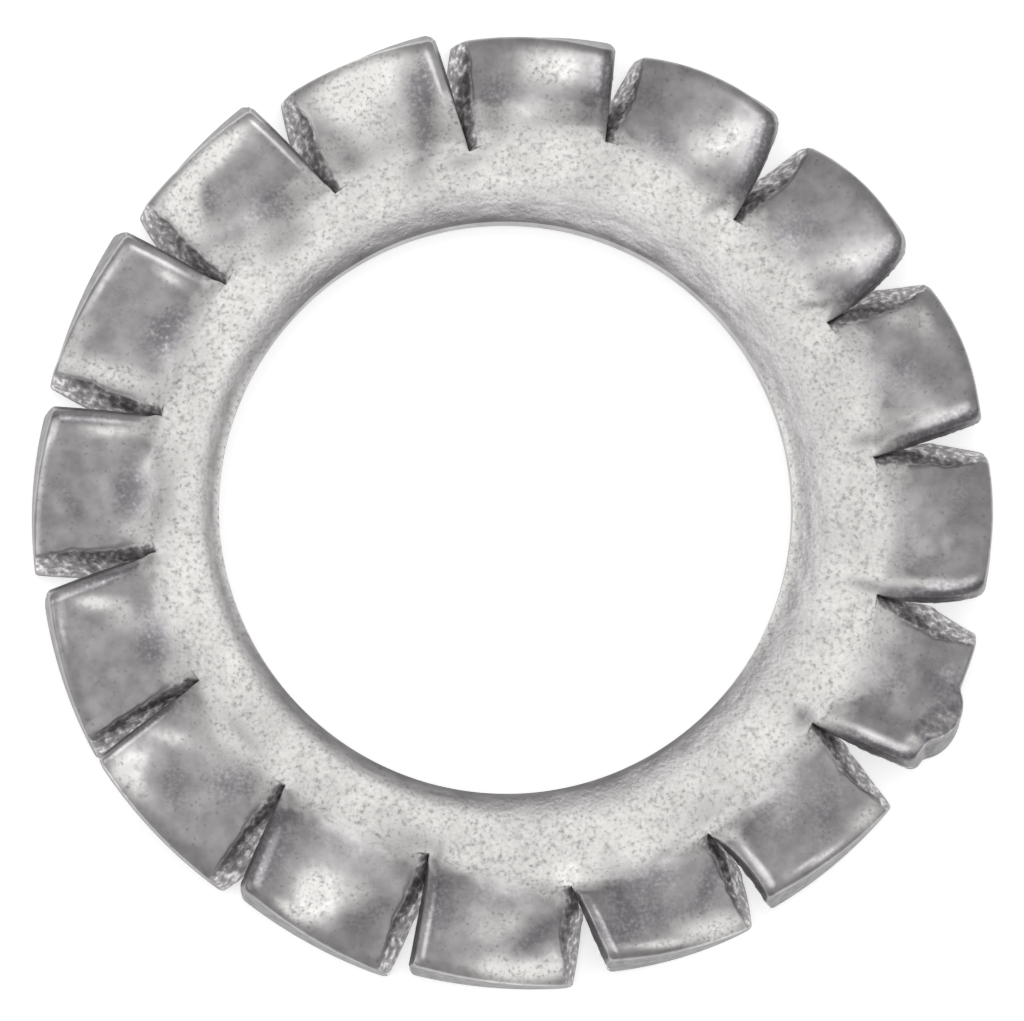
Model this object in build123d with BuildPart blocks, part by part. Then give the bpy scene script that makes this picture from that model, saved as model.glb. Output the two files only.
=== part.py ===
from build123d import *
from math import cos, radians, tan
import os

# A toothed lock washer, stamped in one piece from spring-steel strip.
# Sixteen teeth are lanced around a flat ring and twisted like propeller blades, so that one
# end of each tooth bites the nut and its other end bites the part below.
# The origin is the centre of the bore at mid thickness, and +Z is the washer's axis.

# Blank
bore_diameter = 10.6
outer_diameter = 17.7
sheet_thickness = 0.9
bore_rollover = 0.25         # drawn-in edge on the side that the bore punch entered
bore_burr_break = 0.05       # tumbled edge on the far side

# Lancing and twisting
tooth_count = 16
slit_root_diameter = 13.55   # circle through the inner ends of the slits
first_slit_bearing = 97.9    # degrees from +X
slit_root_gap = 0.06
slit_rim_gap = 0.30
tip_twist = 16.0             # degrees that a tooth has turned by at the rim
twist_exponent = 1.5         # above 1, the twist gathers towards the rim

# The two cut faces of a tooth; the sizes that fade are full at the rim and shrink inwards
sheared_depth = 0.42         # smooth part of each cut face
rollover_width = 0.24        # fades: drawn-in edge beside the smooth part
rollover_depth = 0.12        # fades
tear_slant = 0.40            # fades: how far the torn part leans
fade_floor = 0.12            # share of a fading size that is left at the bend line

# Out-of-centre stamping, measured from the bore centre
runout_bearing = -14.0
lancing_runout = 0.26
blank_runout = 0.10
rim_trim_stock = 0.2         # length that a tooth has to spare before its rim is trimmed

# The one damaged tooth, counted clockwise from the first slit: a blow on its rim dished the
# face and squeezed a lobe out
struck_tooth = 6
lobe_radius = 0.75
lobe_stand_out = 0.28
lobe_thinning = 0.08         # how far the lobe lies below each face
lobe_nose_bulge = 0.2        # how far its rounded edge bellies out
dish_radius = 2.4
dish_depth = 0.12
dish_setback = 0.35          # from the rim to the deepest point of the dish

pitch = 360 / tooth_count
rim_radius = outer_diameter / 2
bend_reach = slit_root_diameter / 2 * cos(radians(pitch / 2))
tooth_length = rim_radius - bend_reach
stock_reach = rim_radius + abs(lancing_runout - blank_runout) + rim_trim_stock
section_count = 4
runout_direction = Vector(1, 0, 0).rotate(Axis.Z, runout_bearing)
lancing_centre = runout_direction * lancing_runout
blank_centre = runout_direction * blank_runout


def section_plane(bearing, reach):
    """Plane across a tooth, turned by its twist; local X runs to the lowered end."""
    outwards = Vector(1, 0, 0).rotate(Axis.Z, bearing)
    turn = tip_twist * ((reach - bend_reach) / tooth_length) ** twist_exponent
    sideways = Vector(0, 1, 0).rotate(Axis.Z, bearing)
    sideways = sideways.rotate(Axis((0, 0, 0), outwards), -turn)
    return Plane(lancing_centre + outwards * reach, x_dir=sideways, z_dir=outwards)


def make_tooth(bearing):
    """One tooth, lofted outwards from its bend line and trimmed square to its twist."""
    top = sheet_thickness / 2
    with BuildPart() as tooth:
        for step in range(section_count):
            reach = bend_reach + (stock_reach - bend_reach) * step / (section_count - 1)
            share = min(1, (reach - bend_reach) / tooth_length)
            grown = max(fade_floor, share)
            gap = slit_root_gap + (slit_rim_gap - slit_root_gap) * share
            half = reach * tan(radians(pitch / 2)) - gap / 2
            slant = tear_slant * grown
            flat_half = half - rollover_width * grown
            wall_top = top - rollover_depth * grown
            wall_end = top - sheared_depth
            with BuildSketch(section_plane(bearing, reach)):
                with BuildLine():
                    raised = TangentArc((-flat_half, top), (-half, wall_top), tangent=(-1, 0))
                    lowered = TangentArc((flat_half, -top), (half, -wall_top), tangent=(1, 0))
                    Polyline(raised @ 1, (-half, wall_end), (slant - half, -top), lowered @ 0)
                    Polyline(lowered @ 1, (half, -wall_end), (half - slant, top), raised @ 0)
                make_face()
        loft()

        # A disc swept along a lean that matches the twist leaves the rim square to the tooth.
        # It is drawn facing inwards, which keeps its seam off the rim.
        tip = section_plane(bearing, rim_radius)
        twist_per_mm = radians(tip_twist) * twist_exponent / tooth_length
        lean = (tip.y_dir + tip.x_dir * rim_radius * twist_per_mm) * 2 * sheet_thickness
        disc_plane = Plane(blank_centre - lean, x_dir=-tip.z_dir, z_dir=tip.y_dir)
        with BuildSketch(disc_plane):
            Circle(rim_radius)
        extrude(amount=2 * lean.length, dir=lean, mode=Mode.INTERSECT)
    return tooth.part


def strike_rim(tooth, bearing):
    """The same tooth after the blow: a thinner lobe stands out of a dished rim."""
    tip = section_plane(bearing, rim_radius)
    lobe_centre = tip.origin + tip.z_dir * (lobe_stand_out - lobe_radius)
    lobe_top = sheet_thickness / 2 - lobe_thinning
    nose_start = lobe_radius - lobe_nose_bulge
    with BuildPart() as struck:
        add(tooth)
        with BuildSketch(Plane(lobe_centre, x_dir=-tip.x_dir, z_dir=tip.z_dir)):
            with BuildLine():
                nose = ThreePointArc(
                    (nose_start, -lobe_top), (lobe_radius, 0), (nose_start, lobe_top)
                )
                Polyline(nose @ 1, (0, lobe_top), (0, -lobe_top), nose @ 0)
            make_face()
        revolve(axis=Axis(lobe_centre, tip.y_dir), revolution_arc=180)
        dish_height = sheet_thickness / 2 + dish_radius - dish_depth
        with Locations(tip.origin - tip.z_dir * dish_setback + tip.y_dir * dish_height):
            Sphere(dish_radius, mode=Mode.SUBTRACT)
    return struck.part


teeth = []
for number in range(1, tooth_count + 1):
    tooth_bearing = first_slit_bearing - pitch * (number - 0.5)
    new_tooth = make_tooth(tooth_bearing)
    if number == struck_tooth:
        new_tooth = strike_rim(new_tooth, tooth_bearing)
    teeth.append(new_tooth)

with BuildPart() as washer:
    with BuildSketch(Plane.XY.offset(-sheet_thickness / 2)):
        with Locations(lancing_centre):
            RegularPolygon(slit_root_diameter / 2, tooth_count, rotation=first_slit_bearing)
        Circle(bore_diameter / 2, mode=Mode.SUBTRACT)
    extrude(amount=sheet_thickness)
    bore_edges = washer.edges().filter_by(GeomType.CIRCLE).sort_by(Axis.Z)
    fillet(bore_edges[-1], bore_rollover)
    chamfer(bore_edges[0], bore_burr_break)
    add(teeth)

washer.part.label = "washer"
os.makedirs("parts", exist_ok=True)
export_step(washer.part, "parts/washer.step")
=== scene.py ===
from math import pi, radians

import bmesh
import bpy
import numpy as np
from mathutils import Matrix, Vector, noise


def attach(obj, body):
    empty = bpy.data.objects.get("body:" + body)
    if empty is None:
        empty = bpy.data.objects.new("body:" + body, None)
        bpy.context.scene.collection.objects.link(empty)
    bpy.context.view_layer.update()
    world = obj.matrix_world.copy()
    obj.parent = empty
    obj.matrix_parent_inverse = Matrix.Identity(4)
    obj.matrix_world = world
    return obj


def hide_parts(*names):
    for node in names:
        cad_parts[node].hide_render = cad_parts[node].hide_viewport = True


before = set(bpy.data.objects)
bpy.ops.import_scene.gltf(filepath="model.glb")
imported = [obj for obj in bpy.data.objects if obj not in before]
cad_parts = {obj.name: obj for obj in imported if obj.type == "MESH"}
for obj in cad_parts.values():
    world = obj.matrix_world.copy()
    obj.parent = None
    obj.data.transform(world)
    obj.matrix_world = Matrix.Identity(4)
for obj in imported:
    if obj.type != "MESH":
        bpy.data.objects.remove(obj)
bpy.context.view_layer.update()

# ---------------------------------------------------------------------------------------------
# The washer. One stamping of hardened spring-steel strip, zinc plated all over.
# A flat ring is blanked, sixteen slits are lanced in from its rim, and a die twists each tooth
# between them, so that its clockwise end stands up and its other end hangs down.

mm = 0.001
thickness = 0.9 * mm
bore_radius = 5.3 * mm

# Every tooth came out a little different. A row's first line is its plan: bearings run clockwise
# from +Y, in degrees, reaches are from the bore centre in mm, and a tooth's slit is the one at
# its lowered end, which opens into a gap further out. The second line is its form: the width
# of its torn faces and drawn-in shoulders and the lean of its rim, in mm, its crown as a share
# of its lift, the bow of its raised edge in degrees, the raised corner's radius in mm, and where
# it turns burnished and where it bends, from 0 at the slits' roots to 1 at the rim.
tooth_columns = (
    "slit_bearing", "slit_reach", "low_bearing", "low_reach",
    "middle_reach", "high_bearing", "high_reach", "gap_reach",
    "torn", "shoulder", "rim_lean", "camber", "edge_bow", "corner", "frost", "bend_start",
)
tooth_list = (
    (-6.0, 6.62, -6.8, 8.71, 8.84, 13.4, 8.89, 8.10,
     0.25, 0.34, 0.25, 0.27, 0.0, 0.08, 0.30, 0.12),
    (15.1, 7.02, 15.9, 8.74, 8.95, 35.2, 8.91, 7.85,
     0.14, 0.50, 0.16, 0.30, 0.5, 0.22, 0.06, -0.04),
    (38.2, 6.78, 39.0, 8.72, 9.00, 57.2, 8.95, 7.75,
     0.13, 0.50, 0.14, 0.22, 0.8, 0.32, 0.10, 0.00),
    (59.9, 6.84, 61.3, 8.84, 9.02, 79.7, 8.96, 8.04,
     0.14, 0.38, 0.08, 0.10, 0.2, 0.10, 0.17, -0.02),
    (82.1, 6.84, 83.0, 8.97, 9.03, 100.5, 8.98, 8.04,
     0.20, 0.36, 0.08, 0.03, 1.0, 0.16, 0.19, 0.00),
    (103.2, 7.02, 104.6, 9.04, 9.06, 123.0, 8.95, 8.15,
     0.24, 0.32, 0.14, 0.00, 0.3, 0.14, 0.17, 0.00),
    (125.2, 6.90, 127.4, 9.02, 8.95, 146.9, 8.87, 7.68,
     0.14, 0.20, 0.20, 0.00, -0.5, 0.10, 0.07, -0.08),
    (148.3, 7.08, 149.4, 8.98, 8.89, 167.8, 8.76, 8.04,
     0.15, 0.16, 0.18, 0.00, 0.0, 0.10, -0.02, -0.20),
    (170.2, 7.10, 171.9, 8.91, 8.84, 192.0, 8.78, 7.73,
     0.16, 0.14, 0.14, 0.02, 0.0, 0.10, 0.05, -0.08),
    (192.4, 6.56, 193.9, 8.91, 8.80, 214.9, 8.69, 7.68,
     0.25, 0.26, 0.14, 0.04, 0.0, 0.14, 0.04, -0.06),
    (218.2, 6.56, 216.3, 8.79, 8.83, 238.2, 8.86, 8.45,
     0.32, 0.08, 0.02, 0.08, 0.0, 0.10, 0.16, -0.02),
    (240.2, 6.50, 238.4, 8.84, 8.77, 259.4, 8.68, 8.80,
     0.39, 0.16, 0.10, 0.00, 0.0, 0.10, 0.05, -0.10),
    (262.4, 6.51, 261.9, 8.78, 8.75, 282.4, 8.68, 7.89,
     0.30, 0.14, 0.16, 0.00, 0.0, 0.10, 0.00, -0.14),
    (284.6, 6.56, 284.9, 8.74, 8.79, 305.9, 8.85, 7.86,
     0.27, 0.14, 0.28, 0.00, 0.0, 0.10, 0.04, -0.12),
    (308.2, 6.60, 308.5, 8.70, 8.83, 327.5, 8.94, 8.00,
     0.26, 0.12, 0.26, 0.03, 0.0, 0.10, 0.18, -0.04),
    (331.3, 6.60, 331.0, 8.65, 8.84, 351.3, 8.95, 7.76,
     0.24, 0.15, 0.24, 0.12, 0.0, 0.10, 0.38, 0.08),
)
teeth = [dict(zip(tooth_columns, row)) for row in tooth_list]


def point_at(bearing, reach):
    """Plan position of a bearing in degrees and a reach in mm."""
    turn = np.radians(bearing)
    return np.stack([np.sin(turn) * reach, np.cos(turn) * reach], axis=-1) * mm


# The flat blank of one tooth: a strip as wide as a tooth, from the bore to the rim, with its
# walls gridded, because the tears and the drawn-in edges need vertices to bend.
strip_width = 3.4 * mm
strip_columns = 40
ring_rows = [0.06 * mm] * 3 + [0.09 * mm] * 3 + [0.15 * mm] * 2 + [0.2 * mm] * 3
ring_rows += [0.09 * mm, 0.07 * mm, 0.04 * mm]
tooth_rows = [0.05 * mm] * 4 + [0.076 * mm] * 25
ring_length = sum(ring_rows)
tooth_length = sum(tooth_rows)
strip_length = ring_length + tooth_length
layers = 12
edge_break = 0.03 * mm

bpy.ops.object.select_all(action="DESELECT")
bpy.ops.mesh.primitive_grid_add(x_subdivisions=strip_columns, y_subdivisions=1, size=strip_width)
strip = bpy.context.object
bpy.ops.object.mode_set(mode="EDIT")
bpy.ops.transform.resize(value=(1, ring_rows[0] / strip_width, 1))
bpy.ops.transform.translate(value=(0, ring_rows[0] / 2, thickness / 2))


def select_faces(wanted):
    """Selects the faces of the mesh in edit mode that wanted(face) is true of."""
    bpy.ops.mesh.select_mode(type="FACE")
    bpy.ops.mesh.select_all(action="DESELECT")
    shape = bmesh.from_edit_mesh(bpy.context.object.data)
    for face in shape.faces:
        face.select_set(wanted(face))
    bmesh.update_edit_mesh(bpy.context.object.data)


def select_edges(wanted):
    """Selects the edges of the mesh in edit mode whose middles wanted(middle) is true of."""
    bpy.ops.mesh.select_mode(type="EDGE")
    bpy.ops.mesh.select_all(action="DESELECT")
    shape = bmesh.from_edit_mesh(bpy.context.object.data)
    for edge in shape.edges:
        start, end = (corner.co for corner in edge.verts)
        edge.select_set(wanted((start + end) / 2))
    bmesh.update_edit_mesh(bpy.context.object.data)


# The strip is drawn out row by row to the rim, and then down layer by layer. The ring runs on
# into the next tooth's share of it, so the strip has no side walls there.
tiny = 0.001 * mm
select_edges(lambda middle: middle.y > ring_rows[0] - tiny)
for row in ring_rows[1:] + tooth_rows:
    bpy.ops.mesh.extrude_region_move(TRANSFORM_OT_translate={"value": (0, row, 0)})
bpy.ops.mesh.select_all(action="SELECT")
for layer in range(layers):
    down = (0, 0, -thickness / layers)
    bpy.ops.mesh.extrude_region_move(TRANSFORM_OT_translate={"value": down})
bpy.ops.mesh.select_all(action="SELECT")
bpy.ops.mesh.normals_make_consistent(inside=False)
select_faces(lambda face: abs(face.normal.x) > 0.9 and face.calc_center_median().y < ring_length)
bpy.ops.mesh.delete(type="FACE")

# The rim's edges, the tooth's corners and the edges along its slits are tumbled smooth.
at_rim = strip_length - tiny
at_side = strip_width / 2 - tiny
at_face = thickness / 2 - tiny
slit_start = ring_length + tooth_rows[0] * 1.5


def is_tumbled(middle):
    """True of an edge along the rim, down a corner, or along a slit's upper or lower edge."""
    along_rim = middle.y > at_rim and abs(middle.z) > at_face
    down_corner = middle.y > at_rim and abs(middle.x) > at_side
    along_slit = abs(middle.x) > at_side and abs(middle.z) > at_face and middle.y > slit_start
    return along_rim or down_corner or along_slit


select_edges(is_tumbled)
bpy.ops.mesh.bevel(offset=edge_break, segments=2, affect="EDGES", clamp_overlap=True)
bpy.ops.object.mode_set(mode="OBJECT")

# How the shears and the die shape a tooth. The bend, the free length and the rounding of a
# slit's root are shares of the tooth's length, and held_share is what the ring lets through of
# the twist.
end_lift = 0.395 * mm
bend_share = 0.30
free_share = 0.12
held_share = 0.45
sheared_depth = 0.42 * mm
root_tear = 0.36 * mm
root_round = 0.065
high_tear_share = 0.3
low_corner = 0.05 * mm
shoulder_slope = 0.5
deepest_shoulder = 0.20 * mm
crisp_shoulder = 0.14
soft_shoulder = 0.32
root_undercut = 0.22
rim_undercut = 0.8
coarse_tear = 0.16 * mm
fine_tear = 0.07 * mm
tear_roughness = 0.04 * mm
slit_overlap = 0.07 * mm
gap_softness = 0.035
latest_gap = 0.95
gap_overrun = 0.04
rim_drawn_width = 0.28 * mm
rim_drawn_depth = 0.09 * mm
bore_drawn_width = 0.68 * mm
bore_drawn_depth = 0.15 * mm
bore_edge_softness = 0.4
punch_lean = 0.30
punch_bearing = radians(45)
# the painted highlight on the bore's upper lip: the bearing it centres on, and its width
painted_lip_highlight_bearing = radians(94)
painted_lip_highlight_width = 0.14 * mm
bore_burr_break = 0.05 * mm
sheet_waviness = 0.010 * mm
wave_size = 0.9 * mm

# Marks that single teeth carry: zinc that stayed frosted, painted highlights, dark stains and
# painted shade, and swells of the surface. across and along give a mark's place on its tooth, as
# in middle_surface, its length and width are in mm, turn is in degrees towards the rim, and a
# swell's strength is its height in mm.
mark_columns = ("kind", "tooth", "across", "along", "length", "width", "turn", "strength")
mark_list = (
    ("frosted", 1, 0.10, 0.66, 0.80, 0.36, 10, 0.80),
    ("frosted", 1, -0.60, 0.20, 0.60, 0.30, 0, 0.30),
    ("painted_highlight", 1, 0.34, 0.68, 0.34, 0.28, 20, 0.80),
    ("painted_highlight", 1, -0.02, 0.26, 0.60, 0.24, 0, 0.35),
    ("painted_highlight", 1, 0.00, 0.78, 0.70, 0.26, 5, 0.70),
    ("stained_and_shaded", 1, 0.74, 0.42, 0.26, 0.50, -15, 0.40),
    ("stained_and_shaded", 1, 0.66, 0.26, 0.30, 0.16, 10, 0.50),
    ("stained_and_shaded", 1, 0.92, 0.70, 0.16, 0.50, 0, 0.30),
    ("stained_and_shaded", 1, -0.75, 0.28, 0.30, 0.50, 0, 0.60),
    ("stained_and_shaded", 1, -0.62, 0.50, 0.40, 0.40, 0, 0.60),
    ("stained_and_shaded", 1, 0.84, 0.62, 0.08, 0.50, 0, 0.40),
    ("frosted", 2, 0.30, 0.52, 0.75, 0.40, 35, 0.70),
    ("painted_highlight", 2, 0.42, 0.56, 0.55, 0.26, 50, 0.70),
    ("painted_highlight", 2, 0.15, 0.28, 0.40, 0.34, 30, 0.70),
    ("stained_and_shaded", 2, -0.60, 0.30, 0.50, 0.50, 0, 0.20),
    ("stained_and_shaded", 2, 0.68, -0.02, 0.28, 0.10, 70, 0.90),
    ("stained_and_shaded", 2, 0.92, 0.60, 0.20, 0.60, 0, 0.30),
    ("stained_and_shaded", 2, -0.45, 0.16, 0.40, 0.24, 0, 0.50),
    ("stained_and_shaded", 2, 0.76, 0.66, 0.10, 0.50, 0, 0.60),
    ("stained_and_shaded", 2, -0.80, 0.62, 0.40, 0.30, 0, 0.40),
    ("frosted", 3, 0.35, 0.40, 0.40, 0.35, 60, 0.50),
    ("painted_highlight", 3, 0.50, 0.50, 0.55, 0.22, 55, 0.70),
    ("painted_highlight", 3, 0.22, 0.20, 0.30, 0.30, 0, 0.60),
    ("stained_and_shaded", 3, 0.30, 0.90, 0.60, 0.16, 0, 0.40),
    ("stained_and_shaded", 3, 0.70, 0.02, 0.40, 0.09, 65, 1.00),
    ("stained_and_shaded", 3, 0.95, 0.60, 0.20, 0.60, 0, 0.30),
    ("stained_and_shaded", 3, -0.45, 0.22, 0.40, 0.34, 0, 0.50),
    ("stained_and_shaded", 3, 0.78, 0.66, 0.12, 0.50, 0, 0.60),
    ("stained_and_shaded", 3, -0.40, 0.40, 0.50, 0.30, 0, 0.40),
    ("frosted", 4, -0.60, 0.76, 0.50, 0.24, 0, 0.75),
    ("frosted", 4, -0.88, 0.60, 0.30, 0.40, 0, 0.60),
    ("frosted", 4, 0.58, 0.30, 0.24, 0.40, -20, 0.50),
    ("painted_highlight", 4, -0.60, 0.80, 0.45, 0.14, 0, 0.15),
    ("painted_highlight", 4, 0.68, 0.56, 0.16, 0.40, -20, 0.40),
    ("stained_and_shaded", 4, 0.10, 0.62, 0.70, 0.30, 20, 0.30),
    ("stained_and_shaded", 4, 0.75, -0.02, 0.35, 0.16, 90, 0.80),
    ("stained_and_shaded", 4, -0.10, 0.40, 0.50, 0.24, 0, 0.50),
    ("stained_and_shaded", 4, 0.80, 0.70, 0.10, 0.30, 0, 0.40),
    ("frosted", 5, 0.15, 0.60, 0.45, 0.16, 0, 0.40),
    ("painted_highlight", 5, 0.78, 0.30, 0.12, 0.60, 0, 0.90),
    ("stained_and_shaded", 5, -0.45, 0.72, 0.80, 0.30, 0, 0.35),
    ("stained_and_shaded", 5, 0.45, 0.42, 0.25, 0.40, 0, 0.35),
    ("stained_and_shaded", 5, 0.92, -0.05, 0.45, 0.12, 90, 0.90),
    ("stained_and_shaded", 5, 0.82, 0.62, 0.10, 0.50, 0, 0.60),
    ("stained_and_shaded", 5, 0.10, 0.22, 0.80, 0.20, 0, 0.30),
    ("frosted", 6, 0.00, 0.45, 0.40, 0.16, 0, 0.35),
    ("painted_highlight", 6, 0.70, 0.88, 0.24, 0.14, 0, 0.90),
    ("painted_highlight", 6, 0.82, 0.25, 0.10, 0.60, 0, 0.80),
    ("stained_and_shaded", 6, -0.45, 0.72, 0.70, 0.34, 10, 0.45),
    ("stained_and_shaded", 6, 0.48, 0.60, 0.20, 0.36, 0, 0.30),
    ("stained_and_shaded", 6, 1.00, -0.10, 0.25, 0.15, 90, 0.80),
    ("stained_and_shaded", 6, -0.30, 0.88, 0.50, 0.24, 0, 0.80),
    ("stained_and_shaded", 6, -0.10, 0.40, 0.80, 0.20, 0, 0.50),
    ("frosted", 7, -0.75, 0.90, 0.50, 0.20, 0, 0.80),
    ("frosted", 7, 0.75, 0.12, 0.20, 0.24, 0, 1.00),
    ("painted_highlight", 7, -0.70, 0.90, 0.40, 0.12, 0, 0.10),
    ("painted_highlight", 7, 0.15, 0.91, 0.65, 0.05, -5, 1.00),
    ("painted_highlight", 7, 0.82, 0.22, 0.12, 0.45, 0, 0.80),
    ("stained_and_shaded", 7, -0.45, 0.60, 0.70, 0.22, 22, 0.50),
    ("stained_and_shaded", 7, -0.95, -0.12, 0.25, 0.15, 0, 0.60),
    ("stained_and_shaded", 7, 0.90, -0.18, 0.50, 0.20, 0, 0.30),
    ("stained_and_shaded", 7, 0.00, 0.42, 1.30, 0.50, 0, 0.35),
    ("stained_and_shaded", 7, -0.10, 0.82, 0.90, 0.10, 0, 0.30),
    ("frosted", 8, -0.55, 0.86, 0.80, 0.34, -8, 1.20),
    ("frosted", 8, 0.20, 0.88, 0.45, 0.14, 0, 0.80),
    ("painted_highlight", 8, -0.55, 0.88, 0.80, 0.24, -8, 0.70),
    ("painted_highlight", 8, 0.30, 0.88, 0.80, 0.07, -7, 1.20),
    ("painted_highlight", 8, 1.00, -0.08, 0.14, 0.16, 0, 1.40),
    ("stained_and_shaded", 8, -0.75, 0.46, 0.60, 0.20, 38, 1.10),
    ("stained_and_shaded", 8, 0.50, 0.40, 0.34, 0.90, -10, 0.60),
    ("stained_and_shaded", 8, -0.10, 0.14, 0.50, 0.30, 0, 0.60),
    ("stained_and_shaded", 8, 0.92, 0.55, 0.10, 0.70, 0, 0.60),
    ("stained_and_shaded", 8, 0.20, 0.52, 0.90, 0.50, 0, 0.65),
    ("stained_and_shaded", 8, 0.72, 0.66, 0.40, 0.30, 0, 0.60),
    ("stained_and_shaded", 8, 0.82, 0.60, 0.10, 0.60, 0, 0.50),
    ("frosted", 9, -0.40, 0.86, 0.90, 0.26, 0, 1.20),
    ("frosted", 9, 0.05, 0.50, 0.60, 0.45, 0, 0.70),
    ("frosted", 9, -0.32, 0.40, 0.30, 0.20, 0, 0.80),
    ("painted_highlight", 9, -0.40, 0.87, 0.90, 0.22, 4, 1.30),
    ("painted_highlight", 9, -1.00, -0.08, 0.20, 0.16, 0, 1.40),
    ("painted_highlight", 9, -0.88, 0.74, 0.22, 0.22, 0, 0.80),
    ("stained_and_shaded", 9, -0.66, 0.53, 0.60, 0.16, 38, 1.10),
    ("stained_and_shaded", 9, 0.55, 0.45, 0.65, 0.25, 0, 0.30),
    ("stained_and_shaded", 9, 0.70, 0.40, 0.22, 0.50, 0, 0.60),
    ("stained_and_shaded", 9, 0.87, 0.32, 0.12, 0.75, 0, 1.40),
    ("frosted", 10, 0.05, 0.64, 0.50, 0.40, 20, 1.20),
    ("frosted", 10, -0.45, 0.48, 0.36, 0.36, 0, 0.60),
    ("frosted", 10, 0.30, 0.90, 0.40, 0.12, 0, 0.90),
    ("painted_highlight", 10, 0.04, 0.66, 0.50, 0.42, 20, 1.40),
    ("painted_highlight", 10, 0.30, 0.90, 0.40, 0.10, 0, 0.40),
    ("stained_and_shaded", 10, -0.66, 0.62, 0.60, 0.22, 40, 0.60),
    ("stained_and_shaded", 10, -0.85, -0.12, 0.50, 0.28, 0, 0.60),
    ("stained_and_shaded", 10, 0.72, 0.50, 0.25, 0.60, 0, 0.70),
    ("stained_and_shaded", 10, 0.87, 0.50, 0.13, 0.80, 0, 1.50),
    ("stained_and_shaded", 10, 0.80, 0.60, 0.10, 0.50, 0, 0.50),
    ("swollen", 10, -0.15, 0.68, 0.50, 0.45, 0, 0.06),
    ("frosted", 11, 0.10, 0.15, 0.80, 0.30, 0, 1.00),
    ("painted_highlight", 11, 0.72, 0.84, 0.24, 0.36, -20, 1.20),
    ("painted_highlight", 11, 0.60, 0.42, 0.50, 0.14, 25, 0.80),
    ("painted_highlight", 11, 0.10, 0.10, 0.40, 0.16, 0, 0.50),
    ("painted_highlight", 11, 0.50, 0.90, 0.40, 0.20, 0, 0.80),
    ("stained_and_shaded", 11, 0.00, -0.08, 0.80, 0.16, 0, 0.35),
    ("stained_and_shaded", 11, -0.70, 0.18, 0.45, 0.24, 0, 0.60),
    ("stained_and_shaded", 11, -0.50, 0.28, 0.60, 0.22, 20, 0.70),
    ("stained_and_shaded", 11, 0.12, 0.64, 0.50, 0.24, -25, 0.80),
    ("stained_and_shaded", 11, 0.80, 0.12, 0.25, 0.15, 0, 0.70),
    ("stained_and_shaded", 11, 0.96, 0.38, 0.10, 0.70, 0, 1.30),
    ("stained_and_shaded", 11, -0.50, 0.40, 0.40, 0.20, 0, 0.40),
    ("frosted", 12, 0.35, 0.40, 0.40, 0.30, 0, 0.60),
    ("frosted", 12, -0.90, 0.92, 0.20, 0.30, 0, 0.50),
    ("frosted", 12, -0.85, 0.16, 0.24, 0.24, 0, 1.00),
    ("painted_highlight", 12, 0.64, 0.60, 0.38, 0.14, 55, 1.20),
    ("painted_highlight", 12, 0.55, 0.92, 0.50, 0.05, -3, 0.80),
    ("painted_highlight", 12, 0.30, 0.36, 0.34, 0.22, 0, 0.40),
    ("stained_and_shaded", 12, -0.20, 0.15, 0.60, 0.18, 0, 0.40),
    ("stained_and_shaded", 12, -0.36, 0.25, 0.34, 0.24, 0, 1.60),
    ("stained_and_shaded", 12, 0.90, 0.48, 0.12, 0.80, 0, 1.50),
    ("frosted", 13, -0.85, 0.16, 0.24, 0.24, 0, 1.00),
    ("frosted", 13, 0.80, 0.15, 0.28, 0.24, 0, 1.10),
    ("painted_highlight", 13, 0.74, 0.42, 0.14, 0.44, 0, 1.10),
    ("painted_highlight", 13, 0.65, 0.94, 0.40, 0.05, -4, 0.80),
    ("stained_and_shaded", 13, 0.91, 0.72, 0.10, 0.60, 0, 1.30),
    ("stained_and_shaded", 13, -0.30, 0.70, 0.60, 0.14, 25, 0.50),
    ("stained_and_shaded", 13, -0.10, -0.15, 0.80, 0.32, 0, 0.60),
    ("stained_and_shaded", 13, -0.20, 0.19, 0.46, 0.24, 0, 1.50),
    ("frosted", 14, -0.80, 0.50, 0.30, 1.00, 0, 1.20),
    ("frosted", 14, -0.40, 0.90, 0.50, 0.20, 0, 0.70),
    ("painted_highlight", 14, -0.85, 0.62, 0.22, 0.80, 0, 0.60),
    ("painted_highlight", 14, 0.35, 0.93, 0.70, 0.05, -3, 0.80),
    ("painted_highlight", 14, 0.76, 0.44, 0.12, 0.30, -10, 1.00),
    ("stained_and_shaded", 14, 0.10, 0.72, 1.00, 0.36, 0, 0.25),
    ("stained_and_shaded", 14, 0.00, 0.22, 0.50, 0.30, -10, 1.80),
    ("frosted", 15, -0.75, 0.62, 0.55, 0.55, 30, 1.20),
    ("frosted", 15, 0.00, 0.88, 1.40, 0.20, 3, 1.20),
    ("painted_highlight", 15, -0.75, 0.68, 0.55, 0.36, 30, 0.90),
    ("painted_highlight", 15, 0.00, 0.86, 1.30, 0.20, 3, 1.30),
    ("stained_and_shaded", 15, 0.10, -0.14, 0.60, 0.32, 0, 0.70),
    ("stained_and_shaded", 15, -0.42, 0.60, 0.50, 0.12, 38, 0.80),
    ("stained_and_shaded", 15, 0.20, 0.18, 0.45, 0.34, 0, 1.20),
    ("stained_and_shaded", 15, 0.20, 0.60, 0.90, 0.24, 0, 0.30),
    ("stained_and_shaded", 15, 0.85, 0.70, 0.10, 0.50, 0, 0.50),
    ("stained_and_shaded", 15, -0.30, 0.60, 0.30, 0.20, 0, 0.40),
    ("frosted", 16, -0.15, 0.80, 1.30, 0.36, 0, 1.20),
    ("frosted", 16, -0.25, 0.50, 0.70, 0.40, 0, 0.90),
    ("painted_highlight", 16, -0.05, 0.80, 1.10, 0.36, 5, 1.30),
    ("painted_highlight", 16, -0.45, 0.62, 0.70, 0.34, 25, 0.80),
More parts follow.
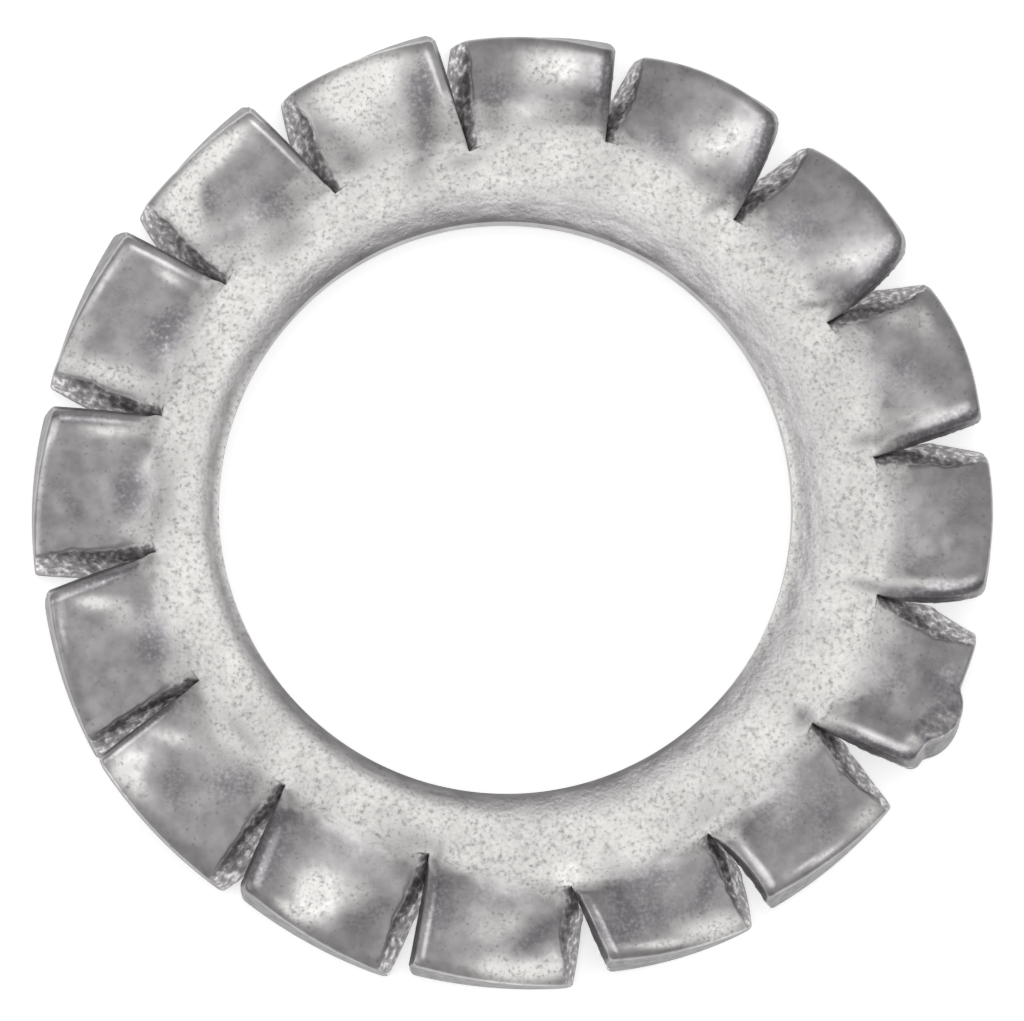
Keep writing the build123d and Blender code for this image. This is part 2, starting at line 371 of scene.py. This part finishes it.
    ("stained_and_shaded", 16, 0.74, 0.68, 0.10, 0.40, -8, 0.80),
    ("stained_and_shaded", 16, 0.90, -0.14, 0.40, 0.16, 0, 0.40),
    ("stained_and_shaded", 16, 0.50, 0.32, 0.95, 0.26, 62, 1.50),
    ("stained_and_shaded", 16, -0.75, 0.22, 0.30, 0.25, 0, 0.70),
    ("stained_and_shaded", 16, 0.58, 0.66, 0.30, 0.34, 0, 0.70),
    ("stained_and_shaded", 16, -0.80, 0.42, 0.40, 0.24, 0, 0.60),
)
marks = [dict(zip(mark_columns, row)) for row in mark_list]


def marked(kind, number, across, along):
    """How strongly the marks of this kind show on a tooth at these places. On the ring,
    where nothing parts the teeth, a mark runs on into the next tooth's share of it."""
    total = np.zeros_like(across)
    for mark in marks:
        steps_away = (mark["tooth"] - number) % len(teeth) - 1
        if mark["kind"] == kind and abs(steps_away) <= 1:
            reached = 1.0 if steps_away == 0 else along <= 0
            sideways = (across - mark["across"] - 2 * steps_away) * strip_width / mm / 2
            outwards = (along - mark["along"]) * tooth_length / mm
            turn = radians(mark["turn"])
            lengthwise = (sideways * np.cos(turn) + outwards * np.sin(turn)) / mark["length"]
            crosswise = (outwards * np.cos(turn) - sideways * np.sin(turn)) / mark["width"]
            shape = np.exp(-(lengthwise**2) - crosswise**2)
            total = total + mark["strength"] * shape * reached
    return total


# The one struck tooth: a blow on its rim squeezed a lump out of it, dished its face, and left
# the skin of the lump crumpled inside a crease. Places are across and along the tooth.
struck_tooth = 5
lump_middle = 0.24
lump_half_width = 0.42
lump_stand_out = 0.27 * mm
dish_depth = 0.10 * mm
dish_middle = (0.2, 0.95)
dish_half_width = 0.45
dish_half_length = 0.3
crumple_half_width = 0.378
crumple_length = 0.24
crumple_height = 0.035 * mm
crease_depth = 0.7 * crumple_height
crease_level = 0.35
crease_width = 0.2
fold_size = 0.12 * mm
fine_fold = 0.05 * mm

# How the zinc was worked, and where shade is painted on it. Along a tooth, places and widths are
# shares of its length, and across its raised shoulder they are in widths of the shoulder.
patch_size = 0.3 * mm
fine_patch = 0.12 * mm
burnish_setback = 0.05
burnish_bow = 0.13
burnish_unevenness = 0.10
burnish_fade = 0.16
shoulder_shade_reach = 1.2
shoulder_shade_edge = 0.5
shoulder_shade_edge_fade = 0.12
bend_darkening = 0.3
bend_darkening_middle = 0.19
bend_darkening_width = 0.11
slit_shade_height = 0.10
root_shade = 0.35
# painted shade in the struck tooth's crease, and a darker tone on its crumpled skin
crease_shade = 0.9
crumple_stain = 0.5
crumple_tear = 0.35


def mix(start, end, share):
    """The value that lies share of the way from start to end."""
    return start + (end - start) * share


def lift_at(tooth, along):
    """Height of the raised end, from nothing where the bend starts to its full height."""
    grown = np.clip((along - tooth["bend_start"]) / (1 - tooth["bend_start"]), 0, 1)
    full = 1 - np.exp(-((1 / bend_share) ** 1.5))
    return end_lift * (1 - np.exp(-((grown / bend_share) ** 1.5))) / full


def gap_start(tooth):
    """Where along the tooth the slit at its lowered end starts to open."""
    slit_length = tooth["low_reach"] - tooth["slit_reach"]
    return min((tooth["gap_reach"] - tooth["slit_reach"]) / slit_length, latest_gap)


def gap_share(tooth, along):
    """How far the slit at the lowered end has opened: nothing at its root and 1 at the rim."""
    opens_at = gap_start(tooth)
    opened = np.log1p(np.exp((along - opens_at) / gap_softness))
    return opened / np.log1p(np.exp((1 - opens_at) / gap_softness))


def dome(places, middle, half_width):
    """A rounded hump over these places: 1 at its middle and 0 beyond half_width."""
    return np.clip(1 - ((places - middle) / half_width) ** 2, 0, 1) ** 0.8


def middle_surface(number, across, along):
    """Points of the sheet's middle surface, and the tooth's half width there.

    across runs from -1 at the lowered end to 1 at the raised one, and along from -1 at the bore
    through 0 at the slits' roots to 1 at the rim.
    """
    tooth, before, after = teeth[number], teeth[number - 1], teeth[(number + 1) % len(teeth)]
    before_high = before["high_bearing"] - 360 * (number == 0)
    after_slit = after["slit_bearing"] + 360 * (number == len(teeth) - 1)
    share = (across + 1) / 2
    inner = np.clip(along + 1, 0, 1)
    outer = np.clip(along, 0, 1)
    root_reach = mix(tooth["slit_reach"], after["slit_reach"], share)
    bow = tooth["middle_reach"] - (tooth["low_reach"] + tooth["high_reach"]) / 2
    rim_reach = mix(tooth["low_reach"], tooth["high_reach"], share) + bow * (1 - across**2)
    rim_reach = rim_reach - tooth["rim_lean"] / 2 * share
    if number == struck_tooth:
        lump = lump_stand_out / mm * dome(across, lump_middle, lump_half_width)
        rim_reach = rim_reach + lump
    reach = mix(mix(bore_radius / mm, root_reach, inner), rim_reach, outer)

    # the slit's two sides overlap by a hair in plan until just after the gap opens
    opened = gap_share(tooth, outer)
    closed_share = np.clip(outer / (gap_start(tooth) + gap_overrun), 0, 1)
    closed = np.sqrt(np.clip(np.sin(np.pi * closed_share), 0, 1))
    overlap = np.degrees(slit_overlap / mm / reach) * closed
    gap = (tooth["low_bearing"] - before_high) * opened * (outer > 0)
    bowed = 4 * outer * (1 - outer)
    low = mix(tooth["slit_bearing"], before_high, outer) + before["edge_bow"] * bowed
    low = low + gap - overlap
    high = mix(after_slit, tooth["high_bearing"], outer) + tooth["edge_bow"] * bowed
    plan = point_at(mix(low, high, share), reach)
    half = np.radians(high - low) / 2 * reach * mm

    # inside the slits' roots the ring holds the teeth together, and the twist only ripples it
    free = np.clip(along / free_share, 0, 1)
    twisted = mix(held_share * np.sin(np.pi * across), across, free * free * (3 - 2 * free))
    height = lift_at(tooth, along) * (twisted + tooth["camber"] * (1 - across**2))
    height = height + marked("swollen", number, across, along) * mm * (outer > 0)
    if number == struck_tooth:
        aside = (across - dish_middle[0]) / dish_half_width
        inwards = (outer - dish_middle[1]) / dish_half_length
        height = height - dish_depth * np.exp(-(aside**2) - inwards**2) * (outer > 0)
    return np.concatenate([plan, height[..., None]], axis=-1), half


def uneven(places, pitch, seed):
    """Smooth noise from -1 to 1 at each of these places; pitch is the size of its patches."""
    return np.array([noise.noise(Vector(place) / pitch + Vector((seed, 0, 0))) for place in places])


def rounded_edge(distance, width, softness=1.0):
    """Share of a drawn-in edge's depth at a distance from the edge: 1 at it, 0 beyond width."""
    inside = 1 - np.clip(distance / width, 0, 1)
    return mix(inside**1.2, 1 - np.sqrt(1 - inside**2), softness)


def shape_tooth(number, blank):
    """A copy of the flat blank's mesh, cut, drawn and twisted as this tooth is.

    Its forms fade in from the slits' roots: np.minimum(grown * 6, 1) is full a sixth of the way
    out to the rim.
    """
    tooth, before = teeth[number], teeth[number - 1]
    before_high = before["high_bearing"] - 360 * (number == 0)
    places = np.empty(len(blank.vertices) * 3)
    blank.vertices.foreach_get("co", places)
    x, y, z = places.reshape(-1, 3).T
    across = np.clip(2 * x / strip_width, -1, 1)
    across = (across + np.sin(across * np.pi / 2)) / 2
    along = np.where(y < ring_length, y / ring_length - 1, (y - ring_length) / tooth_length)
    down = 0.5 - z / thickness
    grown = np.clip(along, 0, 1)
    half = middle_surface(number, across, along)[1]
    lift = lift_at(tooth, along) * np.clip(along / free_share, 0, 1)
    high_turn = np.arctan(lift * (1 - 2 * tooth["camber"]) / half)
    low_turn = np.arctan(lift * (1 + 2 * tooth["camber"]) / half)

    # the corners at the rim, rounded in plan
    corner_radius = np.where(across > 0, tooth["corner"] * mm, low_corner)
    by_side = np.clip(1 - (1 - np.abs(across)) * half / corner_radius, 0, 1)
    by_rim = np.clip(1 - (1 - along) * tooth_length / corner_radius, 0, 1)
    side_pull = by_side * (1 - np.sqrt(1 - by_rim**2 / 2)) * corner_radius
    along = along - by_rim * (1 - np.sqrt(1 - by_side**2 / 2)) * corner_radius / tooth_length

    # the section: drawn-in edge, sheared wall and tear at the raised end, the same turned over
    # at the lowered end
    top = thickness / 2
    torn_height = thickness - sheared_depth
    reach = mix(tooth["slit_reach"], tooth["low_reach"], grown) * mm
    closed = grown - gap_share(tooth, grown)
    bulge = np.radians(tooth["low_bearing"] - before_high) * closed * reach
    root_end = np.sqrt(1 - (1 - np.minimum(grown / root_round, 1)) ** 2)
    torn = root_tear * root_end * (1 - grown) + tooth["torn"] * mm * grown
    low_tear = torn + np.maximum(bulge, 0) + torn_height * np.sin(low_turn)
    high_tear = torn * high_tear_share + torn_height * np.maximum(np.sin(high_turn), 0)
    shoulder = tooth["shoulder"] * mm * np.minimum(grown * 6, 1) + 1e-9
    drop = np.minimum(shoulder * shoulder_slope, deepest_shoulder)

    high_z = mix(top - drop, -top, down)
    low_z = mix(top, -top + drop, down)
    high_torn = np.clip((top - sheared_depth - high_z) / torn_height, 0, 1)
    low_torn = np.clip((low_z + top - sheared_depth) / torn_height, 0, 1)
    faces = np.stack([y, z, np.zeros_like(y)], axis=-1)
    ripple = uneven(faces, coarse_tear, number * 7.3) + 0.6 * uneven(faces, fine_tear, number * 3.1)
    ripple = ripple * tear_roughness * np.minimum(grown * 10, 1)
    high_side = half - high_tear * high_torn - ripple * np.minimum(high_torn * 5, 1)
    undercut = mix(root_undercut, rim_undercut, np.minimum(grown * 1.6, 1))
    recess = 1 - (1 - low_torn) ** undercut
    low_side = low_tear * recess - half + ripple * np.minimum(low_torn * 5, 1)
    sideways = mix(low_side, high_side, (across + 1) / 2) - side_pull * np.sign(across)

    # the two faces, drawn in at the raised end's shoulder, along the rim and round the bore,
    # where the punch went in a little askew; a highlight is painted on the bore's upper lip at two
    # sides
    from_high = (2 * half - low_tear) * (1 - across) / 2
    from_low = (2 * half - high_tear) * (1 + across) / 2
    from_rim = (1 - along) * tooth_length
    from_bore = (along + 1) * ring_length
    middle = middle_surface(number, across, along)[0]
    bearing = np.arctan2(middle[:, 0], middle[:, 1])
    drawn_width = bore_drawn_width * (1 + punch_lean * np.cos(bearing - punch_bearing))
    # a painted highlight on the bore's upper lip, at two opposite bearings
    painted_lip_highlight = np.clip(1.2 * np.cos(2 * (bearing - painted_lip_highlight_bearing)), 0, 1)
    painted_lip_highlight = painted_lip_highlight * np.exp(-((from_bore / painted_lip_highlight_width) ** 2))
    painted_lip_highlight = painted_lip_highlight * np.clip(1 - 4 * down, 0, 1)
    softness = (tooth["shoulder"] - crisp_shoulder) / (soft_shoulder - crisp_shoulder)
    softness = np.clip(softness, 0, 1)
    upper = top - drop * rounded_edge(from_high, shoulder, softness)
    upper = upper - rim_drawn_depth * rounded_edge(from_rim, rim_drawn_width)
    upper = upper - bore_drawn_depth * rounded_edge(from_bore, drawn_width, bore_edge_softness)
    lower = drop * rounded_edge(from_low, shoulder, softness) - top
    lower = lower + bore_burr_break * np.clip(1 - from_bore / bore_burr_break, 0, 1)
    level = mix(upper, lower, down)

    # the sheet carries its section along, square to its middle surface across the tooth, and
    # leaning at the rim
    step = 0.02
    place = middle_surface(number, sideways / half, along)[0]
    beside = middle_surface(number, sideways / half + step, along)[0] - place
    outwards = place * (1, 1, 0)
    outwards /= np.linalg.norm(outwards, axis=-1)[:, None]
    square = np.cross(beside, outwards)
    square /= np.linalg.norm(square, axis=-1)[:, None]
    held = (np.abs(across) ** 6 * (1 - np.clip(along / free_share, 0, 1)))[:, None]
    square = square * (1 - held) + np.array((0, 0, 1)) * held
    square /= np.linalg.norm(square, axis=-1)[:, None]
    lean = tooth["rim_lean"] * mm * (across + 1) / 2 * grown**2
    final = place + square * level[:, None] - outwards * (lean * level / thickness)[:, None]
    final[:, 2] += sheet_waviness * uneven(place, wave_size, 5.0) * np.minimum(grown * 3, 1)
    crushed = np.zeros_like(along)
    crease = np.zeros_like(along)
    if number == struck_tooth:
        aside = (across - lump_middle) / crumple_half_width
        crushed = np.clip(1.4 - aside**2 - ((1 - along) / crumple_length) ** 2, 0, 1) * (z > 0)
        crumple = uneven(place, fold_size, 3.0) + 0.5 * uneven(place, fine_fold, 8.0)
        crease = np.exp(-(((crushed - crease_level) / crease_width) ** 2)) * (crushed > 0)
        final[:, 2] += crumple_height * crushed * crumple - crease_depth * crease
    mesh = blank.copy()
    mesh.vertices.foreach_set("co", final.ravel())

    # how the zinc looks at each vertex: burnished beyond a bowed and patchy line, with painted
    # shade on the raised shoulder, darker at the bend, and painted shade down in the slits
    on_wall = (np.abs(x) > at_side) & (along > 0)
    is_torn = on_wall & np.where(across > 0, high_torn > 0.02, low_torn > 0.02)
    is_cut = ((on_wall & ~is_torn) | (y > at_rim)) & (np.abs(z) < at_face - edge_break)
    patchy = uneven(place, patch_size, 21.0) + 0.5 * uneven(place, fine_patch, 33.0)
    pressed_from = tooth["frost"] + burnish_setback - burnish_bow * (1 - across**2)
    burnished = np.clip((along - pressed_from + burnish_unevenness * patchy) / burnish_fade, 0, 1)
    frosted = marked("frosted", number, across, along)
    burnished = burnished * np.clip(1 - frosted * (1 + 0.5 * patchy), 0, 1)
    # painted shade on the raised end's rounded shoulder, darkest along its edge
    shoulder_shade_and_bend_darkening = 0.5 * np.clip(1 - from_high / (shoulder_shade_reach * shoulder), 0, 1)
    shoulder_shade_and_bend_darkening = shoulder_shade_and_bend_darkening + 0.8 * np.clip((shoulder_shade_edge - from_high / shoulder) / shoulder_shade_edge_fade, 0, 1)
    shoulder_shade_and_bend_darkening = shoulder_shade_and_bend_darkening * np.clip(tooth["shoulder"] * 5 - 0.8, 0, 1) * np.minimum(grown * 3, 1)
    # darker across the middle of the tooth where it bends
    bend_darkened = np.exp(-(((along - bend_darkening_middle) / bend_darkening_width) ** 2))
    shoulder_shade_and_bend_darkening = shoulder_shade_and_bend_darkening + bend_darkening * bend_darkened * (1 - across**2)
    # painted shade down the slit walls, darkest at their floor and weaker at the roots
    from_slit_floor = 1 - np.where(across > 0, high_torn, recess)
    painted_slit_shade = np.exp(-((from_slit_floor / slit_shade_height) ** 2))
    painted_slit_shade = painted_slit_shade * mix(root_shade, 1, np.minimum(grown * 2.5, 1))
    # the marks' stains and painted shade, with the painted shade on the shoulder and in the crease,
    # and the darkening at the bend and on the crumpled skin
    stained_and_shaded = marked("stained_and_shaded", number, across, along) + shoulder_shade_and_bend_darkening
    stained_and_shaded = stained_and_shaded + crease_shade * crease + crumple_stain * crushed
    painted = {
        "burnished": burnished,
        "stained_and_shaded": stained_and_shaded,
        # painted highlights from the marks and on the bore's upper lip
        "painted_highlight": marked("painted_highlight", number, across, along) + painted_lip_highlight,
        "painted_slit_shade": on_wall * painted_slit_shade,
        # the streaked band gives way to the painted lip highlight
        "drawn": np.clip(1.5 - 1.5 * from_bore / drawn_width, 0, 1) * (1 - painted_lip_highlight),
        "torn": np.maximum(is_torn, crumple_tear * crushed),
        "cut": is_cut.astype(float),
    }
    for name, values in painted.items():
        mesh.attributes.new(name, "FLOAT", "POINT").data.foreach_set("value", values)
    mesh.update()
    return mesh


# The teeth welded together into the one stamping.
weld_distance = 0.0005 * mm
sharp_from = radians(38)
made = []
for number in range(len(teeth)):
    one_tooth = bpy.data.objects.new("tooth", shape_tooth(number, strip.data))
    bpy.context.collection.objects.link(one_tooth)
    made.append(one_tooth)
bpy.data.objects.remove(strip)
bpy.ops.object.select_all(action="DESELECT")
for one_tooth in made:
    one_tooth.select_set(True)
bpy.context.view_layer.objects.active = made[0]
bpy.ops.object.join()
washer = bpy.context.object
washer.name = "toothed_washer"
bpy.ops.object.mode_set(mode="EDIT")
bpy.ops.mesh.select_all(action="SELECT")
bpy.ops.mesh.remove_doubles(threshold=weld_distance)
bpy.ops.mesh.normals_make_consistent(inside=False)
bpy.ops.object.mode_set(mode="OBJECT")
bpy.ops.object.shade_smooth_by_angle(angle=sharp_from)

# Zinc plating: matt and speckled on the flat ring, burnished darker where the die pressed.
# stains and painted shade share one dark colour
stain_and_shade_colour = (0.143, 0.135, 0.147)
stain_and_shade_share = 0.9
pit_share = 0.5
# how dark the painted shade in the slits gets
painted_slit_shade_share = 0.65
pit_spacing = 0.15 * mm
pit_wander = 0.10 * mm
widest_pit = 0.24
streaks_per_radian = 9.0
streak_length = 0.125 * mm
frosted_roughness = 0.46
burnished_roughness = 0.32
streak_polish = 0.08
torn_roughness = 0.42
relief_depth = 0.02 * mm
relief_strength = 0.4

zinc = bpy.data.materials.new("zinc_plating")
zinc.use_nodes = True
nodes, links = zinc.node_tree.nodes, zinc.node_tree.links
shader = nodes["Principled BSDF"]


def zinc_node(kind, values=(), wires=()):
    """A node of the zinc plating, with its values set and its inputs wired."""
    node = nodes.new(kind)
    for name, value in values:
        if name in node.inputs:
            node.inputs[name].default_value = value
        else:
            setattr(node, name, value)
    for name, source in wires:
        links.new(source, node.inputs[name])
    return node


def painted_share(name):
    """The mesh attribute of this name, as a number."""
    return zinc_node("ShaderNodeAttribute", [("attribute_name", name)]).outputs["Fac"]


def noise_in(size, detail=2.0):
    """A noise texture whose patches are about this size."""
    values = [("Scale", 0.5 / size), ("Detail", detail)]
    return zinc_node("ShaderNodeTexNoise", values, [("Vector", place_on_part)])


def grain(size, detail=2.0):
    """Grey noise, from 0 to 1, whose patches are about this size."""
    return noise_in(size, detail).outputs["Fac"]


def ramp(source, stops):
    """A ramp from source through stops, each a position and a grey level or colour."""
    node = zinc_node("ShaderNodeValToRGB", wires=[("Fac", source)])
    while len(node.color_ramp.elements) < len(stops):
        node.color_ramp.elements.new(1)
    for stop, (position, colour) in zip(node.color_ramp.elements, stops):
        stop.position = position
        stop.color = (*colour, 1) if isinstance(colour, tuple) else (colour, colour, colour, 1)
    return node.outputs["Color"]


def blend(share, first, second, blend_type="MIX"):
    """Colour first where share is 0 and second where it is 1."""
    node = nodes.new("ShaderNodeMix")
    node.data_type = "RGBA"
    node.blend_type = blend_type
    for slot, value in zip((0, 6, 7), (share, first, second)):
        if isinstance(value, bpy.types.NodeSocket):
            links.new(value, node.inputs[slot])
        elif slot == 0:
            node.inputs[slot].default_value = value
        else:
            node.inputs[slot].default_value = (*value, 1)
    return node.outputs[2]


def maths(operation, *sources):
    """The result of a maths operation on numbers and sockets."""
    node = zinc_node("ShaderNodeMath", [("operation", operation)])
    for slot, source in enumerate(sources):
        if isinstance(source, bpy.types.NodeSocket):
            links.new(source, node.inputs[slot])
        else:
            node.inputs[slot].default_value = source
    return node.outputs[0]


def scaled(source, factor, offset):
    """The source times the factor, plus the offset."""
    return maths("MULTIPLY_ADD", source, factor, offset)


def clamped(source):
    """The source, held between 0 and 1."""
    return zinc_node("ShaderNodeClamp", wires=[("Value", source)]).outputs[0]


def frosted_grey(level):
    """A grey of this level with the faint warmth of unworked zinc."""
    return (level * 1.012, level * 0.992, level * 0.966)


def worked_grey(level):
    """A grey of this level with the faint violet of worked zinc."""
    return (level * 1.015, level * 0.983, level * 0.998)


place_on_part = zinc_node("ShaderNodeTexCoord").outputs["Object"]
speckle = grain(0.035 * mm, 3)
mottle = grain(0.07 * mm, 3)
clouds = grain(0.6 * mm, 3)
drawn = painted_share("drawn")
painted_highlight = painted_share("painted_highlight")
painted_slit_shade = painted_share("painted_slit_shade")
torn_share = painted_share("torn")
cut_share = painted_share("cut")

# burnished zinc starts in a ragged line, and its stains and painted shade break up in flecks
burnished = scaled(painted_share("burnished"), 1.5, -0.85)
burnished = clamped(scaled(mottle, 1.2, burnished))
fleck = scaled(speckle, -4.0, scaled(mottle, -2.8, 2.1))
clear_of_stain_and_shade = maths("EXPONENT", maths("MULTIPLY", painted_share("stained_and_shaded"), fleck))
stained_and_shaded = clamped(maths("SUBTRACT", 1.0, clear_of_stain_and_shade))

# streaks round the bore, where the punch drew the edge in
apart = zinc_node("ShaderNodeSeparateXYZ", wires=[("Vector", place_on_part)])
flat = zinc_node("ShaderNodeCombineXYZ", wires=[("X", apart.outputs[0]), ("Y", apart.outputs[1])])
direction = zinc_node("ShaderNodeVectorMath", [("operation", "NORMALIZE")])
links.new(flat.outputs[0], direction.inputs[0])
radius = zinc_node("ShaderNodeVectorMath", [("operation", "LENGTH")])
links.new(flat.outputs[0], radius.inputs[0])
round_bore = zinc_node("ShaderNodeSeparateXYZ", wires=[("Vector", direction.outputs[0])])
streak_place = zinc_node("ShaderNodeCombineXYZ", wires=[
    ("X", maths("MULTIPLY", round_bore.outputs[0], streaks_per_radian)),
    ("Y", maths("MULTIPLY", round_bore.outputs[1], streaks_per_radian)),
    ("Z", maths("DIVIDE", radius.outputs["Value"], streak_length)),
])
streaks = zinc_node(
    "ShaderNodeTexNoise",
    [("Scale", 1.0), ("Detail", 3.0)],
    [("Vector", streak_place.outputs[0])],
)
streak_colour = ramp(streaks.outputs["Fac"], [(0.36, worked_grey(0.30)), (0.64, worked_grey(0.45))])

# small dark pits, uneven in outline, with stretches where they close up
pit_place = zinc_node("ShaderNodeVectorMath", [("operation", "MULTIPLY_ADD")])
links.new(noise_in(0.04 * mm).outputs["Color"], pit_place.inputs[0])
pit_place.inputs[1].default_value = (pit_wander, pit_wander, pit_wander)
links.new(place_on_part, pit_place.inputs[2])
pits = zinc_node(
    "ShaderNodeTexVoronoi",
    [("Scale", 1 / pit_spacing)],
    [("Vector", pit_place.outputs[0])],
)
pit_size = maths("MINIMUM", scaled(grain(0.3 * mm, 1), 0.9, -0.24), widest_pit)
from_pit = maths("DIVIDE", pits.outputs["Distance"], maths("MAXIMUM", pit_size, 0.001))
pitted = clamped(scaled(from_pit, -1.6, 1.7))

# the colour of each state of the zinc
frosted_colour = ramp(
    speckle, [(0.28, frosted_grey(0.44)), (0.44, frosted_grey(0.67)), (0.70, frosted_grey(0.76))]
)
mottle_colour = ramp(mottle, [(0.34, 0.82), (0.46, 0.98), (0.68, 1.04)])
frosted_colour = blend(1.0, frosted_colour, mottle_colour, "MULTIPLY")
cloud_colour = ramp(clouds, [(0.34, 0.82), (0.64, 1.02)])
frosted_colour = blend(1.0, frosted_colour, cloud_colour, "MULTIPLY")
burnished_colour = ramp(grain(0.2 * mm, 4), [(0.34, worked_grey(0.325)), (0.66, worked_grey(0.46))])
burnished_colour = blend(0.5, burnished_colour, mottle_colour, "MULTIPLY")
# the torn faces' grain; its lightest patches are painted glints of the torn facets
torn_colour = ramp(
    grain(0.06 * mm, 3),
    [(0.36, worked_grey(0.27)), (0.52, worked_grey(0.44)), (0.66, worked_grey(0.90))],
)
cut_colour = ramp(grain(0.08 * mm, 3), [(0.35, worked_grey(0.18)), (0.65, worked_grey(0.30))])
# painted highlights: a near-white sheen, speckled where the zinc is frosted and smooth where
# burnished
painted_highlight_colour = ramp(speckle, [(0.34, frosted_grey(0.66)), (0.48, frosted_grey(0.98))])
painted_highlight_colour = blend(burnished, painted_highlight_colour, frosted_grey(0.94))

# and the states laid one over another
colour = blend(burnished, frosted_colour, burnished_colour)
# the painted highlights laid over the zinc in flecks
flecked = maths("MULTIPLY", painted_highlight, scaled(mottle, 2.4, -0.2))
colour = blend(clamped(flecked), colour, painted_highlight_colour)
colour = blend(drawn, colour, streak_colour)
colour = blend(maths("MULTIPLY", pitted, pit_share), colour, worked_grey(0.20))
# stains and painted shade, laid on in one dark colour
colour = blend(maths("MULTIPLY", stained_and_shaded, stain_and_shade_share), colour, stain_and_shade_colour)
colour = blend(torn_share, colour, torn_colour)
colour = blend(cut_share, colour, cut_colour)
# painted shade at the foot of the slit walls
colour = blend(maths("MULTIPLY", painted_slit_shade, painted_slit_shade_share), colour, worked_grey(0.12))
links.new(colour, shader.inputs["Base Color"])

# unworked zinc scatters light, and worked zinc mirrors it
matt = maths("SUBTRACT", 1.0, burnished)
matt = maths("MAXIMUM", matt, maths("MULTIPLY", painted_highlight, 0.8))
matt = maths("MULTIPLY", matt, maths("SUBTRACT", 1.0, drawn))
metallic = scaled(scaled(painted_highlight, 0.5, 1.0), maths("MULTIPLY", matt, -0.5), 1.0)
links.new(metallic, shader.inputs["Metallic"])
roughness = scaled(burnished, burnished_roughness - frosted_roughness, frosted_roughness)
roughness = scaled(drawn, -streak_polish, roughness)
rough_edges = maths("MAXIMUM", torn_share, cut_share)
roughness = scaled(rough_edges, maths("SUBTRACT", torn_roughness, roughness), roughness)
links.new(roughness, shader.inputs["Roughness"])

# frost on the unworked zinc and grain on the torn faces stand up a little
frost_relief = maths("MULTIPLY", speckle, scaled(burnished, -0.85, 1.0))
torn_relief = maths("MULTIPLY", grain(0.07 * mm, 3), maths("MULTIPLY", torn_share, 3.0))
relief = maths("ADD", frost_relief, torn_relief)
bump_values = [("Strength", relief_strength), ("Distance", relief_depth)]
bump = zinc_node("ShaderNodeBump", bump_values, [("Height", relief)])
links.new(bump.outputs[0], shader.inputs["Normal"])
washer.data.materials.clear()
washer.data.materials.append(zinc)

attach(washer, "root")
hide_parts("washer")

# ---------------------------------------------------------------------------------------------
# The studio: a pale floor under the washer, a broad soft lamp over it, a weaker one at each
# side, and an even sky.

floor_height = -0.85 * mm
floor_grey = 0.8
floor_roughness = 0.9
floor_glow = 0.55
sky_grey = 0.50
bpy.ops.mesh.primitive_plane_add(size=2, location=(0, 0, floor_height))
floor = bpy.context.object
floor.name = "floor"
paper = bpy.data.materials.new("floor_paper")
paper.use_nodes = True
paper_shader = paper.node_tree.nodes["Principled BSDF"]
paper_shader.inputs["Base Color"].default_value = (floor_grey, floor_grey, floor_grey, 1)
paper_shader.inputs["Roughness"].default_value = floor_roughness
paper_shader.inputs["Emission Color"].default_value = (1, 1, 1, 1)

# the paper glows only where it is seen, straight on or mirrored, so it lights nothing
seen_by = paper.node_tree.nodes.new("ShaderNodeLightPath")
glow = paper.node_tree.nodes.new("ShaderNodeMath")
glow.operation = "MULTIPLY"
glow.inputs[1].default_value = floor_glow
seen = seen_by.outputs["Is Camera Ray"]
for ray in ("Is Glossy Ray", "Is Transmission Ray"):
    either = paper.node_tree.nodes.new("ShaderNodeMath")
    either.operation = "ADD"
    paper.node_tree.links.new(seen, either.inputs[0])
    paper.node_tree.links.new(seen_by.outputs[ray], either.inputs[1])
    seen = either.outputs[0]
paper.node_tree.links.new(seen, glow.inputs[0])
paper.node_tree.links.new(glow.outputs[0], paper_shader.inputs["Emission Strength"])
floor.data.materials.append(paper)


def soft_lamp(name, place, size, radiance):
    """A square soft box that faces the washer; a radiance of 1 is as bright as white paper."""
    bpy.ops.object.light_add(type="AREA", location=place)
    lamp = bpy.context.object
    lamp.name = name
    lamp.data.size = size
    lamp.data.energy = radiance * pi * size**2
    lamp.rotation_euler = Vector(place).to_track_quat("Z", "Y").to_euler()


soft_lamp("overhead_lamp", (0.005, 0.025, 0.35), 0.215, 2.2)
soft_lamp("left_lamp", (-0.27, -0.075, 0.24), 0.2, 1.15)
soft_lamp("right_lamp", (0.26, 0.02, 0.26), 0.2, 0.42)

world = bpy.data.worlds.new("studio")
bpy.context.scene.world = world
world.use_nodes = True
sky = world.node_tree.nodes["Background"]
sky.inputs["Color"].default_value = (sky_grey, sky_grey, sky_grey, 1)

# The camera looks down on the washer from just in front of it.
camera_distance = 0.18
camera_tilt = 5.0
camera_side = -1.5
aim = Vector((0.115 * mm, -0.039 * mm, 0))
view_width = 18.93 * mm
bpy.ops.object.camera_add()
camera = bpy.context.object
camera.rotation_euler = (radians(camera_tilt), radians(camera_side), 0)
towards_camera = camera.rotation_euler.to_matrix() @ Vector((0, 0, 1))
camera.location = aim + towards_camera * camera_distance
camera.data.lens = camera.data.sensor_width * camera_distance / view_width
camera.data.clip_start = 0.01
bpy.context.scene.camera = camera
bpy.context.scene.view_settings.view_transform = "Standard"
